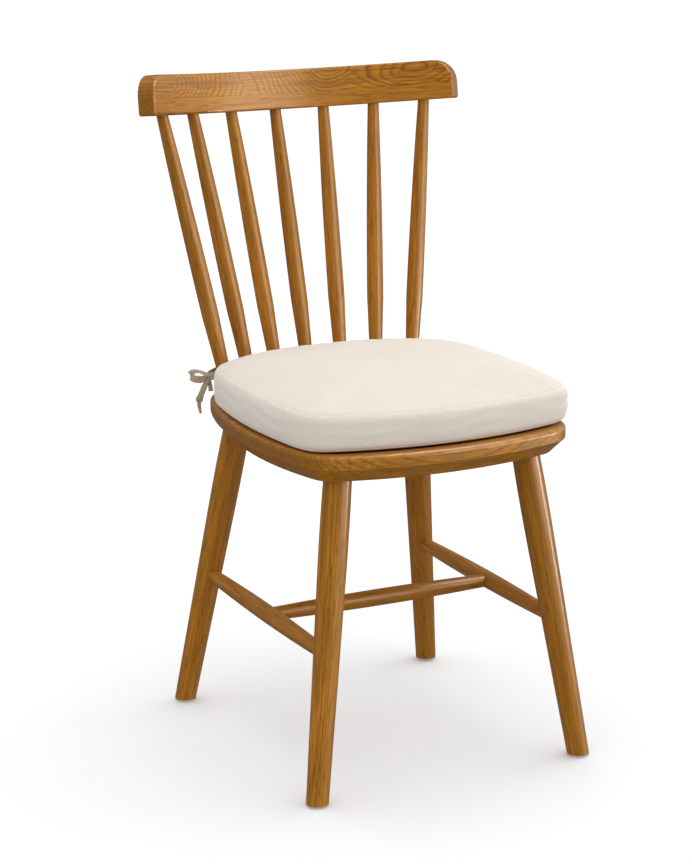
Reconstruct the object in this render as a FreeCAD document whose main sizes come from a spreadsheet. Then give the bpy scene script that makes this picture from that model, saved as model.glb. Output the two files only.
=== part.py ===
import FreeCAD, Part
import math
import os
import Sketcher
from FreeCAD import Placement, Rotation, Vector

# Windsor dining chair with an H stretcher, seven spindles, a bent crest rail and a tied seat cushion.
# Millimetres, +Z up, the chair faces -Y, and "left" is -X, as seen from the front.

SIZES = {
    # seat board, its plan outline is arcs that run into each other
    "seat_height": 445.0,
    "seat_thickness": 36.0,
    "seat_half_width": 206.0,
    "seat_widest_y": -30.0,
    "seat_side_radius": 515.0,
    "seat_front_y": -223.5,
    "seat_front_radius": 520.0,
    "seat_front_corner_radius": 53.0,
    "seat_rear_corner_radius": 79.0,
    "seat_back_margin": 27.0,
    "seat_under_chamfer": 19.0,
    "seat_edge_rounding": 6.0,
    "dish_margin": 17.0,
    "dish_depth": 6.0,
    "dish_slope_angle": 68.0,
    # legs, placed by where each axis meets the floor and the underside of the seat
    "foot_half_spacing": 192.0,
    "front_foot_y": -212.0,
    "rear_foot_y": 212.0,
    "leg_top_half_spacing": 135.0,
    "front_leg_top_y": -156.0,
    "rear_leg_top_y": 147.0,
    "foot_diameter": 28.8,
    "leg_taper_top_diameter": 36.9,
    "leg_swell_diameter": 37.4,
    "leg_neck_diameter": 36.0,
    "leg_taper_length": 300.0,
    "leg_swell_height": 356.0,
    "leg_tenon_diameter": 22.0,
    "leg_tenon_length": 16.0,
    # stretchers
    "front_stretcher_height": 187.5,
    "rear_stretcher_height": 190.5,
    "stretcher_diameter": 23.2,
    "stretcher_end_diameter": 17.8,
    "stretcher_tenon_diameter": 14.0,
    "stretcher_tenon_past_axis": 5.0,
    "cross_stretcher_share": 0.53,
    "cross_diameter": 22.6,
    "cross_end_diameter": 18.0,
    "cross_tenon_diameter": 12.0,
    # spindles, on one arc in the seat and one in the crest rail
    "spindle_count": 7,
    "seat_arc_radius": 264.0,
    "seat_arc_centre_y": -58.5,
    "seat_arc_step_angle": 10.6,
    "crest_arc_step_angle": 12.83,
    "spindle_foot_diameter": 16.0,
    "spindle_swell_diameter": 23.0,
    "spindle_swell_height": 112.0,
    "spindle_swell_rounding": 18.0,
    "spindle_top_diameter": 15.6,
    "spindle_foot_tenon_length": 14.0,
    "spindle_top_tenon_diameter": 11.0,
    "spindle_top_tenon_length": 20.0,
    # crest rail, a board bent to an arc, leaning back
    "crest_radius": 317.5,
    "crest_thickness": 24.0,
    "crest_height": 54.0,
    "crest_end_angle": 47.0,
    "crest_apex_y": 311.5,
    "crest_apex_z": 805.5,
    "crest_lean_angle": 8.5,
    "crest_corner_radius": 31.0,
    "crest_edge_rounding": 3.0,
    # glued joints and glides
    "glue_gap": 0.1,
    "mortise_extra_depth": 1.0,
    "glide_diameter": 22.0,
    "glide_thickness": 3.0,
    "glide_edge_chamfer": 0.8,
    "nail_head_diameter": 7.0,
    "nail_head_thickness": 1.0,
    "nail_recess_depth": 1.6,
    "nail_shank_diameter": 2.4,
    "nail_shank_length": 15.0,
    # cushion, a boxed cover over a foam block
    "cushion_half_width": 205.5,
    "cushion_offset_x": 3.0,
    "cushion_widest_y": -30.0,
    "cushion_side_radius": 700.0,
    "cushion_front_y": -213.0,
    "cushion_front_radius": 520.0,
    "cushion_front_corner_radius": 50.0,
    "cushion_rear_corner_radius": 42.0,
    "cushion_spindle_gap": 6.0,
    "cushion_seat_gap": 0.3,
    "cushion_band_height": 44.0,
    "cushion_crown": 22.0,
    "cushion_seam_tuck": 5.0,
    "cushion_under_tuck": 13.0,
    "cushion_under_rise": 3.0,
    "cover_thickness": 1.2,
    # ties, a folded fabric tape round each outer spindle
    "tie_height_above_seat": 26.0,
    "tie_width": 10.0,
    "tie_thickness": 1.6,
    "tie_spindle_gap": 1.0,
    "tie_cover_gap": 0.7,
    "tie_knot_distance": 25.0,
    "tie_knot_size": 9.0,
    "tie_loop_length": 27.0,
    "tie_loop_opening": 11.0,
    "tie_long_tail": 50.0,
    "tie_short_tail": 20.0,
}
WHOLE_TURN = 360.0
SIDES = {"left": -1, "right": 1}
ENDS = ("front", "rear")

document = FreeCAD.newDocument("windsor_chair")
sheet = document.addObject("Spreadsheet::Sheet", "Sizes")
for row, (alias, value) in enumerate(SIZES.items(), start=1):
    sheet.set(f"A{row}", alias)
    sheet.set(f"B{row}", str(value))
    sheet.setAlias(f"B{row}", alias)
document.recompute()

nodes = {}


def size(alias):
    """The number in the sheet's cell of this name."""
    return float(sheet.get(alias))


def bind(thing, **cells):
    """Tie properties of an object to sizes in the sheet."""
    for name, formula in cells.items():
        thing.setExpression(name, formula)
    return thing


def keep(label, thing):
    """Name a finished piece and list it for export."""
    thing.Label = label
    nodes[label] = thing
    return thing


def along(start, end):
    """A placement at start whose Z axis points at end."""
    return Placement(start, Rotation(Vector(0, 0, 1), end - start))


def polar(centre, radius, angle):
    """The point at this angle, in radians from +X, on a circle in plan."""
    return Vector(centre.x + radius * math.cos(angle), centre.y + radius * math.sin(angle), 0)


def bearing(centre, point):
    """The angle of a point as seen from a centre in plan, in radians from +X."""
    return math.atan2(point.y - centre.y, point.x - centre.x)


# Sketches and bodies

def new_body(name):
    return document.addObject("PartDesign::Body", name)


def new_sketch(body, plane, height=0.0):
    """A sketch on one of the body's own origin planes, lifted along that plane's normal."""
    sketch = body.newObject("Sketcher::SketchObject", body.Name + "_sketch")
    origin_plane = next(part for part in body.Origin.OriginFeatures if part.Role == plane)
    sketch.AttachmentSupport = (origin_plane, [""])
    sketch.MapMode = "FlatFace"
    sketch.AttachmentOffset = Placement(Vector(0, 0, height), Rotation())
    return sketch


def arc_through(start, middle, end):
    """An arc through three points in plan, always drawn anticlockwise, as a sketch wants it."""
    turn = (middle - start).cross(end - middle).z
    return Part.Arc(start, middle, end) if turn > 0 else Part.Arc(end, middle, start)


def draw_closed(sketch, edges):
    """Add lines and arcs that already meet end to end, and join each to the next at the ends that meet."""
    for edge in edges:
        sketch.addGeometry(edge, False)
    drawn = sketch.Geometry
    for index, edge in enumerate(drawn):
        following = (index + 1) % len(drawn)
        gaps = [(here.distanceToPoint(there), here_end, there_end)
                for here_end, here in ((1, edge.StartPoint), (2, edge.EndPoint))
                for there_end, there in ((1, drawn[following].StartPoint), (2, drawn[following].EndPoint))]
        gap, here_end, there_end = min(gaps)
        sketch.addConstraint(Sketcher.Constraint("Coincident", index, here_end, following, there_end))


def turned(name, corners, bulges, cells):
    """A body turned about Z. Corners are (radius, height) pairs from the bottom up. Bulges maps the index
    of a corner to the (radius, height) that the arc to the next corner passes through, and the other
    stretches are straight. Cells maps the index of a corner to the cell that holds its diameter."""
    body = new_body(name)
    sketch = new_sketch(body, "XZ_Plane")
    points = [Vector(radius, height, 0) for radius, height in [(0, corners[0][1])] + corners]
    points.append(Vector(0, corners[-1][1], 0))
    edges = [Part.LineSegment(start, end) for start, end in zip(points, points[1:] + points[:1])]
    for index, (radius, height) in bulges.items():
        edges[index + 1] = arc_through(points[index + 1], Vector(radius, height, 0), points[index + 2])
    draw_closed(sketch, edges)
    for index, cell in cells.items():
        radius = corners[index][0]
        width = sketch.addConstraint(Sketcher.Constraint("DistanceX", -1, 1, index, 2, radius))
        sketch.setExpression(f"Constraints[{width}]", f"Sizes.{cell} / 2")
    turning = body.newObject("PartDesign::Revolution", name + "_turning")
    turning.Profile = sketch
    turning.ReferenceAxis = (sketch, ["V_Axis"])
    turning.Angle = WHOLE_TURN
    return body


def rod(name, diameter_formula, start, end):
    """A plain round rod from start to end."""
    cylinder = document.addObject("Part::Cylinder", name)
    cylinder.Height = (end - start).Length
    cylinder.Placement = along(start, end)
    return bind(cylinder, Radius=f"({diameter_formula}) / 2")


def bore(name, diameter_cell, start, end):
    """The drill that makes a glued mortise, wider than its tenon by the glue gap all round."""
    return rod(name, f"Sizes.{diameter_cell} + 2 * Sizes.glue_gap", start, end)


def together(name, things):
    group = document.addObject("Part::Compound", name)
    group.Links = things
    return group


def joined(kind, name, base, tool):
    """Part::Cut, Part::Fuse or Part::Common of two objects."""
    result = document.addObject(kind, name)
    result.Base = base
    result.Tool = tool
    return result


# Plan outlines of the seat and the cushion

def tangent_centre(big_a, radius_a, big_b, radius_b, corner, side):
    """Centre of the corner circle that lies inside two big circles and touches both. The side, 1 or -1,
    picks one of the two places where the circles at that distance cross."""
    reach_a = radius_a - corner
    reach_b = radius_b - corner
    gap = big_b - big_a
    share = (reach_a ** 2 - reach_b ** 2 + gap.Length ** 2) / (2 * gap.Length)
    rise = math.sqrt(reach_a ** 2 - share ** 2)
    direction = Vector(gap).normalize()
    across = Vector(-direction.y, direction.x, 0)
    return big_a + direction * share + across * (side * rise)


class Outline:
    """A plan outline of eight tangent arcs: front, side and back arcs with a corner arc between each."""

    def __init__(self, half_width, widest_y, side_radius, front_y, front_radius, front_corner,
                 back_centre_y, back_radius, rear_corner, offset_x=0.0):
        self.offset = Vector(offset_x, 0, 0)
        front = Vector(0, front_y + front_radius, 0)
        side = Vector(half_width - side_radius, widest_y, 0)
        back = Vector(0, back_centre_y, 0)
        front_turn = tangent_centre(front, front_radius, side, side_radius, front_corner, 1)
        rear_turn = tangent_centre(back, back_radius, side, side_radius, rear_corner, -1)
        breaks = [bearing(front, front_turn), bearing(side, front_turn),
                  bearing(side, rear_turn), bearing(back, rear_turn)]
        right = [(front_turn, front_corner, breaks[0], breaks[1]),
                 (side, side_radius, breaks[1], breaks[2]),
                 (rear_turn, rear_corner, breaks[2], breaks[3])]
        left = [(Vector(-centre.x, centre.y, 0), radius, math.pi - end, math.pi - start)
                for centre, radius, start, end in reversed(right)]
        self.arcs = [(front, front_radius, -math.pi - breaks[0], breaks[0])] + right
        self.arcs += [(back, back_radius, breaks[3], math.pi - breaks[3])] + left

    def edges(self, inset=0.0, scale=1.0, height=0.0):
        """The arcs drawn in by an inset, then scaled about the seat's middle, at a height."""
        drawn = []
        for centre, radius, start, end in self.arcs:
            ends = [polar(centre, radius - inset, angle) for angle in (start, (start + end) / 2, end)]
            placed = [point * scale + self.offset + Vector(0, 0, height) for point in ends]
            drawn.append(arc_through(*placed))
        return drawn

    def wire(self, inset=0.0, scale=1.0, height=0.0):
        return Part.Wire([arc.toShape() for arc in self.edges(inset, scale, height)])

    def reach(self, angle, inset=0.0):
        """The outermost point in a direction given in radians from +X."""
        points = self.wire(inset).discretize(Number=400)
        outward = Vector(math.cos(angle), math.sin(angle), 0)
        return max(points, key=outward.dot)


seat_back_radius = size("seat_arc_radius") + size("seat_back_margin")
seat_outline = Outline(
    size("seat_half_width"), size("seat_widest_y"), size("seat_side_radius"), size("seat_front_y"),
    size("seat_front_radius"), size("seat_front_corner_radius"), size("seat_arc_centre_y"),
    seat_back_radius, size("seat_rear_corner_radius"))
cushion_back_radius = size("seat_arc_radius") - size("spindle_foot_diameter") / 2 - size("cushion_spindle_gap")
cushion_outline = Outline(
    size("cushion_half_width"), size("cushion_widest_y"), size("cushion_side_radius"),
    size("cushion_front_y"), size("cushion_front_radius"), size("cushion_front_corner_radius"),
    size("seat_arc_centre_y"), cushion_back_radius + size("cushion_seam_tuck"),
    size("cushion_rear_corner_radius"), size("cushion_offset_x"))
dish_outline = Outline(
    size("seat_half_width"), size("seat_widest_y"), size("seat_side_radius"), size("seat_front_y"),
    size("seat_front_radius"), size("seat_front_corner_radius"), size("seat_arc_centre_y"),
    cushion_back_radius + size("dish_margin"), size("seat_rear_corner_radius"))

seat_top = size("seat_height")
seat_underside = seat_top - size("seat_thickness")


# Axes of the legs, stretchers and spindles

def leg_point(side, end, height):
    """The point of a leg's axis at this height. The axis is straight from the floor to the seat."""
    foot = Vector(SIDES[side] * size("foot_half_spacing"), size(f"{end}_foot_y"), 0)
    top = Vector(SIDES[side] * size("leg_top_half_spacing"), size(f"{end}_leg_top_y"), seat_underside)
    return foot + (top - foot) * (height / seat_underside)


def stretcher_end(side, end):
    return leg_point(side, end, size(f"{end}_stretcher_height"))


def cross_end(side):
    rear = stretcher_end(side, "rear")
    front = stretcher_end(side, "front")
    return rear + (front - rear) * size("cross_stretcher_share")


crest_frame = Placement(Vector(0, size("crest_apex_y"), size("crest_apex_z")),
                        Rotation(Vector(1, 0, 0), -size("crest_lean_angle")))
crest_centre = Vector(0, -size("crest_radius"), 0)


def spindle_foot(step):
    """Where a spindle's axis meets the seat's top, counted in steps from the middle spindle."""
    angle = math.pi / 2 - math.radians(step * size("seat_arc_step_angle"))
    centre = Vector(0, size("seat_arc_centre_y"), 0)
    return polar(centre, size("seat_arc_radius"), angle) + Vector(0, 0, seat_top)


def spindle_head(step):
    """Where a spindle's axis meets the underside of the crest rail."""
    angle = math.pi / 2 - math.radians(step * size("crest_arc_step_angle"))
    return crest_frame.multVec(polar(crest_centre, size("crest_radius"), angle))


spindle_count = int(size("spindle_count"))
spindle_steps = [index - (spindle_count - 1) / 2 for index in range(spindle_count)]


def beyond(start, end, distance):
    """The point this far past the end of a line."""
    return end + (end - start).normalize() * distance


# Legs, turned whole and trimmed level at the glide and at the seat

between_glides_and_seat = document.addObject("Part::Box", "space_between_glides_and_seat")
between_glides_and_seat.Length = 4 * size("foot_half_spacing")
between_glides_and_seat.Width = 4 * size("rear_foot_y")
between_glides_and_seat.Placement.Base = Vector(
    -2 * size("foot_half_spacing"), -2 * size("rear_foot_y"), size("glide_thickness"))
bind(between_glides_and_seat, Height="Sizes.seat_height - Sizes.seat_thickness - Sizes.glide_thickness")


def leg_blank(side, end):
    """The turned leg, running on past the floor and the seat's underside so that both can be trimmed."""
    foot = leg_point(side, end, 0)
    top = leg_point(side, end, seat_underside)
    length = (top - foot).Length
    foot_radius = size("foot_diameter") / 2
    taper_radius = size("leg_taper_top_diameter") / 2
    swell_radius = size("leg_swell_diameter") / 2
    neck_radius = size("leg_neck_diameter") / 2
    overrun = size("seat_thickness") / 3
    narrowing = (taper_radius - foot_radius) / size("leg_taper_length")
    corners = [(foot_radius - narrowing * overrun, -overrun),
               (foot_radius, 0),
               (taper_radius, size("leg_taper_length")),
               (neck_radius, length),
               (neck_radius, length + overrun)]
    cells = {1: "foot_diameter", 2: "leg_taper_top_diameter", 3: "leg_neck_diameter", 4: "leg_neck_diameter"}
    blank = turned(f"{end}_{side}_leg_blank", corners, {2: (swell_radius, size("leg_swell_height"))}, cells)
    blank.Placement = along(foot, top)
    return blank


leg_blanks = {(side, end): leg_blank(side, end) for side in SIDES for end in ENDS}


def leg_mortise_end(side, end, extra=0.0):
    """The deep end of the mortise or tenon that joins a leg to the seat."""
    foot = leg_point(side, end, 0)
    return beyond(foot, leg_point(side, end, seat_underside), size("leg_tenon_length") + extra)


def leg(side, end):
    name = f"{end}_{side}_leg"
    top = leg_point(side, end, seat_underside)
    trimmed = joined("Part::Common", name + "_trimmed", leg_blanks[side, end], between_glides_and_seat)
    root = leg_point(side, end, seat_underside - size("leg_tenon_length"))
    tenon = rod(name + "_tenon", "Sizes.leg_tenon_diameter", root, leg_mortise_end(side, end))
    whole = joined("Part::Fuse", name + "_whole", trimmed, tenon)
    other = "rear" if end == "front" else "front"
    joint = stretcher_end(side, end)
    deep = beyond(stretcher_end(side, other), joint,
                  size("stretcher_tenon_past_axis") + size("mortise_extra_depth"))
    outside = beyond(deep, joint, size("leg_swell_diameter"))
    mortise = bore(name + "_stretcher_mortise", "stretcher_tenon_diameter", deep, outside)
    nail_hole = rod(name + "_nail_hole", "Sizes.nail_shank_diameter", nail_foot(side, end),
                    nail_foot(side, end) + Vector(0, 0, size("nail_shank_length")))
    drills = together(name + "_drills", [mortise, nail_hole])
    return keep(name, joined("Part::Cut", name + "_bored", whole, drills))


# Glides, one nylon disc nailed under each foot

def glide_centre(side, end):
    """The middle of a glide's face on the floor."""
    centre = leg_point(side, end, size("glide_thickness"))
    return Vector(centre.x, centre.y, 0)


def nail_foot(side, end):
    """The underside of a glide nail's head."""
    return glide_centre(side, end) + Vector(0, 0, size("nail_recess_depth") - size("nail_head_thickness"))


def glide(side, end):
    """A disc with a recess for its nail, and the nail."""
    name = f"{end}_{side}_glide"
    radius = size("glide_diameter") / 2
    chamfer = size("glide_edge_chamfer")
    thickness = size("glide_thickness")
    centre = glide_centre(side, end)
    disc = turned(name + "_disc", [(radius - chamfer, 0), (radius, chamfer), (radius, thickness)], {},
                  {2: "glide_diameter"})
    disc.Placement.Base = centre
    recess = rod(name + "_recess", "Sizes.nail_head_diameter + 2 * Sizes.glue_gap",
                 centre, centre + Vector(0, 0, size("nail_recess_depth")))
    shank_hole = rod(name + "_hole", "Sizes.nail_shank_diameter", centre, centre + Vector(0, 0, thickness))
    keep(name, joined("Part::Cut", name + "_bored", disc, together(name + "_drills", [recess, shank_hole])))

    head = size("nail_head_diameter") / 2
    shank = size("nail_shank_diameter") / 2
    nail_corners = [(head, 0),
                    (head, size("nail_head_thickness")),
                    (shank, size("nail_head_thickness")),
                    (shank, size("nail_shank_length") - shank),
                    (shank / 4, size("nail_shank_length"))]
    nail = turned(name + "_nail", nail_corners, {}, {1: "nail_head_diameter", 3: "nail_shank_diameter"})
    nail.Placement.Base = nail_foot(side, end)
    keep(name + "_nail", nail)


for side in SIDES:
    for end in ENDS:
        leg(side, end)
        glide(side, end)


# Stretchers, cigar shaped, their ends coped to the piece that they meet

def stretcher_blank(name, start, end, start_radius, end_radius, cells):
    """A turned stick from start to end, thickest halfway between the surfaces that it meets."""
    length = (end - start).Length
    tip = size(cells[1]) / 2
    corners = [(tip, 0), (tip, start_radius), (tip, length - end_radius), (tip, length)]
    middle = (size(cells[0]) / 2, (length + start_radius - end_radius) / 2)
    blank = turned(name, corners, {1: middle}, {0: cells[1], 2: cells[1]})
    blank.Placement = along(start, end)
    return blank


def leg_radius(height):
    """The radius of the tapering part of a leg at this height."""
    foot_radius = size("foot_diameter") / 2
    taper_radius = size("leg_taper_top_diameter") / 2
    return foot_radius + (taper_radius - foot_radius) * height / size("leg_taper_length")


side_blanks = {}
for side in SIDES:
    side_blanks[side] = stretcher_blank(
        f"{side}_side_stretcher_blank", stretcher_end(side, "rear"), stretcher_end(side, "front"),
        leg_radius(size("rear_stretcher_height")), leg_radius(size("front_stretcher_height")),
        ("stretcher_diameter", "stretcher_end_diameter"))
cross_blank = stretcher_blank(
    "cross_stretcher_blank", cross_end("left"), cross_end("right"),
    size("stretcher_diameter") / 2, size("stretcher_diameter") / 2, ("cross_diameter", "cross_end_diameter"))


def tenoned(name, blank, neighbours, start, end, cell, past_axis):
    """A stick coped to its neighbours' blanks, with a round tenon at each end."""
    coped = joined("Part::Cut", name + "_coped", blank, together(name + "_neighbours", neighbours))
    core = rod(name + "_tenon", f"Sizes.{cell}", beyond(end, start, past_axis), beyond(start, end, past_axis))
    return joined("Part::Fuse", name + "_whole", coped, core)


for side in SIDES:
    name = f"{side}_side_stretcher"
    whole = tenoned(name, side_blanks[side], [leg_blanks[side, end] for end in ENDS],
                    stretcher_end(side, "rear"), stretcher_end(side, "front"),
                    "stretcher_tenon_diameter", size("stretcher_tenon_past_axis"))
    other = "left" if side == "right" else "right"
    deep = beyond(cross_end(other), cross_end(side), size("mortise_extra_depth"))
    mortise = bore(name + "_mortise", "cross_tenon_diameter", deep,
                   beyond(deep, cross_end(side), size("stretcher_diameter")))
    keep(name, joined("Part::Cut", name + "_bored", whole, mortise))
keep("cross_stretcher", tenoned("cross_stretcher", cross_blank, list(side_blanks.values()),
                                cross_end("left"), cross_end("right"), "cross_tenon_diameter", 0.0))


# Spindles, thickest a hand's breadth above the seat, trimmed where they meet the crest rail

over_crest = document.addObject("Part::Box", "space_over_crest_underside")
over_crest.Length = 4 * size("crest_radius")
over_crest.Width = 4 * size("crest_radius")
over_crest.Height = 2 * size("crest_height")
over_crest.Placement = crest_frame.multiply(
    Placement(Vector(-2 * size("crest_radius"), -2 * size("crest_radius"), 0), Rotation()))


def spindle(number, step):
    foot = spindle_foot(step)
    head = spindle_head(step)
    length = (head - foot).Length
    foot_radius = size("spindle_foot_diameter") / 2
    swell_radius = size("spindle_swell_diameter") / 2
    top_radius = size("spindle_top_diameter") / 2
    swell = size("spindle_swell_height")
    overrun = size("crest_height") / 2
    turn_in = swell - size("spindle_swell_rounding")
    turn_in_radius = foot_radius + (swell_radius - foot_radius) * turn_in / swell
    fall = (swell_radius - top_radius) / (length - swell) ** 2
    past_head = length + overrun
    middle = (past_head + swell) / 2
    corners = [(foot_radius, -size("spindle_foot_tenon_length")),
               (foot_radius, 0),
               (turn_in_radius, turn_in),
               (swell_radius, swell),
               (swell_radius - fall * (past_head - swell) ** 2, past_head)]
    bulges = {2: (swell_radius - (swell_radius - turn_in_radius) / 4, (turn_in + swell) / 2),
              3: (swell_radius - fall * (middle - swell) ** 2, middle)}
    cells = {0: "spindle_foot_diameter", 1: "spindle_foot_diameter", 3: "spindle_swell_diameter"}
    blank = turned(f"spindle_{number}_blank", corners, bulges, cells)
    blank.Placement = along(foot, head)
    trimmed = joined("Part::Cut", f"spindle_{number}_trimmed", blank, over_crest)
    tenon = rod(f"spindle_{number}_tenon", "Sizes.spindle_top_tenon_diameter",
                beyond(foot, head, -overrun), beyond(foot, head, size("spindle_top_tenon_length")))
    keep(f"spindle_{number}", joined("Part::Fuse", f"spindle_{number}_whole", trimmed, tenon))


for number, step in enumerate(spindle_steps, start=1):
    spindle(number, step)


# Seat board

def edges_at(shape, height):
    """Names of the shape's edges that lie level at this height."""
    return [f"Edge{index}" for index, edge in enumerate(shape.Edges, start=1)
            if abs(edge.BoundBox.ZMin - height) < 1e-4 and abs(edge.BoundBox.ZMax - height) < 1e-4]


seat_board = new_body("seat_board")
seat_sketch = new_sketch(seat_board, "XY_Plane", seat_top)
draw_closed(seat_sketch, seat_outline.edges())
board = seat_board.newObject("PartDesign::Pad", "seat_blank")
board.Profile = seat_sketch
board.Reversed = True
bind(board, Length="Sizes.seat_thickness")
document.recompute()
under_chamfer = seat_board.newObject("PartDesign::Chamfer", "seat_under_chamfer_cut")
under_chamfer.Base = (board, edges_at(board.Shape, seat_underside))
bind(under_chamfer, Size="Sizes.seat_under_chamfer")
document.recompute()
edge_rounding = seat_board.newObject("PartDesign::Fillet", "seat_edge_rounding_cut")
edge_rounding.Base = (under_chamfer, edges_at(under_chamfer.Shape, seat_top))
bind(edge_rounding, Radius="Sizes.seat_edge_rounding")
dish_sketch = new_sketch(seat_board, "XY_Plane", seat_top)
draw_closed(dish_sketch, dish_outline.edges(size("dish_margin")))
dish = seat_board.newObject("PartDesign::Pocket", "seat_dish")
dish.Profile = dish_sketch
bind(dish, Length="Sizes.dish_depth", TaperAngle="-Sizes.dish_slope_angle * 1 deg")

seat_drills = []
for side in SIDES:
    for end in ENDS:
        below_seat = leg_point(side, end, seat_underside - size("leg_tenon_length"))
        seat_drills.append(bore(f"{end}_{side}_leg_mortise", "leg_tenon_diameter", below_seat,
                                leg_mortise_end(side, end, size("mortise_extra_depth"))))
for number, step in enumerate(spindle_steps, start=1):
    deep = size("spindle_foot_tenon_length") + size("mortise_extra_depth")
    seat_drills.append(bore(f"spindle_{number}_seat_mortise", "spindle_foot_diameter",
                            beyond(spindle_head(step), spindle_foot(step), deep),
                            beyond(spindle_head(step), spindle_foot(step), -deep)))
keep("seat", joined("Part::Cut", "seat_bored", seat_board, together("seat_drills", seat_drills)))


# Crest rail

crest_board = new_body("crest_board")
crest_sketch = new_sketch(crest_board, "XY_Plane")
crest_half = size("crest_thickness") / 2
crest_ends = [math.pi / 2 - math.radians(size("crest_end_angle")),
              math.pi / 2 + math.radians(size("crest_end_angle"))]
outer = [polar(crest_centre, size("crest_radius") + crest_half, angle)
         for angle in (crest_ends[0], math.pi / 2, crest_ends[1])]
inner = [polar(crest_centre, size("crest_radius") - crest_half, angle)
         for angle in (crest_ends[1], math.pi / 2, crest_ends[0])]
draw_closed(crest_sketch, [arc_through(*outer), Part.LineSegment(outer[2], inner[0]),
                           arc_through(*inner), Part.LineSegment(inner[2], outer[0])])
rail = crest_board.newObject("PartDesign::Pad", "crest_blank")
rail.Profile = crest_sketch
bind(rail, Length="Sizes.crest_height")
document.recompute()
end_corners = [name for name in edges_at(rail.Shape, size("crest_height"))
               if rail.Shape.getElement(name).Curve.TypeId == "Part::GeomLine"]
corner_rounding = crest_board.newObject("PartDesign::Fillet", "crest_corner_rounding")
corner_rounding.Base = (rail, end_corners)
bind(corner_rounding, Radius="Sizes.crest_corner_radius")
document.recompute()
softened = crest_board.newObject("PartDesign::Fillet", "crest_edge_softening")
softened.Base = (corner_rounding, edges_at(corner_rounding.Shape, size("crest_height"))
                 + edges_at(corner_rounding.Shape, 0.0))
bind(softened, Radius="Sizes.crest_edge_rounding")
crest_board.Placement = crest_frame
crest_drills = []
for number, step in enumerate(spindle_steps, start=1):
    deep = size("spindle_top_tenon_length") + size("mortise_extra_depth")
    crest_drills.append(bore(f"spindle_{number}_crest_mortise", "spindle_top_tenon_diameter",
                             beyond(spindle_foot(step), spindle_head(step), -deep),
                             beyond(spindle_foot(step), spindle_head(step), deep)))
keep("crest_rail", joined("Part::Cut", "crest_bored", crest_board, together("crest_drills", crest_drills)))


# Cushion, a foam block in a boxed cover: drawn in at both seams, full between them and crowned on top

CROWN_STATIONS = (1.0, 0.96, 0.9, 0.8, 0.6, 0.3, 0.1)
CROWN_POWER = 5.0


def cushion_form(name, skin):
    """The cushion's outer form drawn in all round by a skin."""
    base = seat_top + size("cushion_seat_gap")
    lower_seam = base + size("cushion_under_rise")
    upper_seam = lower_seam + size("cushion_band_height")
    tuck = size("cushion_seam_tuck") + skin
    under = [(base + skin, size("cushion_under_tuck") + skin, 1.0), (lower_seam + skin, tuck, 1.0)]
    band = [(lower_seam + skin, tuck, 1.0), ((lower_seam + upper_seam) / 2, skin, 1.0),
            (upper_seam - skin, tuck, 1.0)]
    crown = [(upper_seam - skin + size("cushion_crown") * (1 - share ** CROWN_POWER), tuck, share)
             for share in CROWN_STATIONS]
    body = new_body(name)
    for stretch, stations in (("under", under), ("band", band), ("crown", crown)):
        sketches = []
        for height, inset, scale in stations:
            sketch = new_sketch(body, "XY_Plane", height)
            draw_closed(sketch, cushion_outline.edges(inset, scale))
            sketches.append(sketch)
        loft = body.newObject("PartDesign::AdditiveLoft", f"{name}_{stretch}")
        loft.Profile = sketches[0]
        loft.Sections = sketches[1:]
        loft.Ruled = stretch == "under"
    return body


cover_form = cushion_form("cushion_outside", 0.0)
foam_form = cushion_form("cushion_inside", size("cover_thickness"))
keep("cushion_cover", joined("Part::Cut", "cushion_cover_shell", cover_form, foam_form))
keep("cushion_foam", together("cushion_foam_block", [foam_form]))


# Ties of folded fabric tape. Each is drawn in a frame whose origin is on its outer spindle's axis, with Z
# along that axis and X pointing outwards to the knot.

SECOND_LOOP_TURN = 110.0
LONG_TAIL_DRIFT = ((0.0, 0.0), (0.17, 0.33), (0.25, 0.67), (0.2, 1.0))
SHORT_TAIL_DRIFT = ((0.0, 0.0), (-0.06, 0.5), (-0.16, 1.0))


def teardrop(near, near_radius, far, far_radius):
    """A face bounded by two circles' outer arcs and the two lines that touch both."""
    heading = bearing(near, far)
    lean = math.acos((near_radius - far_radius) / (far - near).Length)
    near_left, near_right = polar(near, near_radius, heading + lean), polar(near, near_radius, heading - lean)
    far_left, far_right = polar(far, far_radius, heading + lean), polar(far, far_radius, heading - lean)
    near_back, far_tip = polar(near, near_radius, heading + math.pi), polar(far, far_radius, heading)
    edges = [Part.Arc(near_left, near_back, near_right), Part.LineSegment(near_right, far_right),
             Part.Arc(far_right, far_tip, far_left), Part.LineSegment(far_left, near_left)]
    return Part.Face(Part.Wire([edge.toShape() for edge in edges]))


def tape_loop(near, near_radius, far, far_radius):
    """A closed loop of tape standing on edge round a teardrop."""
    thick = size("tie_thickness")
    wall = teardrop(near, near_radius + thick, far, far_radius + thick)
    wall = wall.cut(teardrop(near, near_radius, far, far_radius))
    wall.translate(Vector(0, 0, -size("tie_width") / 2))
    return wall.extrude(Vector(0, 0, size("tie_width")))


def tape_run(points, across):
    """A flat tape through these points, its width lying along the direction across."""
    half_width = across * (size("tie_width") / 2)
    sections = []
    for index, point in enumerate(points):
        before, after = points[max(index - 1, 0)], points[min(index + 1, len(points) - 1)]
        half_thick = (after - before).cross(across).normalize() * (size("tie_thickness") / 2)
        corners = [point + half_width + half_thick, point - half_width + half_thick,
                   point - half_width - half_thick, point + half_width - half_thick]
        sections.append(Part.makePolygon(corners + corners[:1]))
    return Part.makeLoft(sections, True, True)


def tail(knot, drift, hang, length, across):
    """A tail that hangs from the knot. Drift gives how far it is to the side and down, as shares of its length."""
    outward = Vector(1, 0, 0)
    return tape_run([knot + outward * (length * aside) + hang * (length * down) for aside, down in drift], across)


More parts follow.
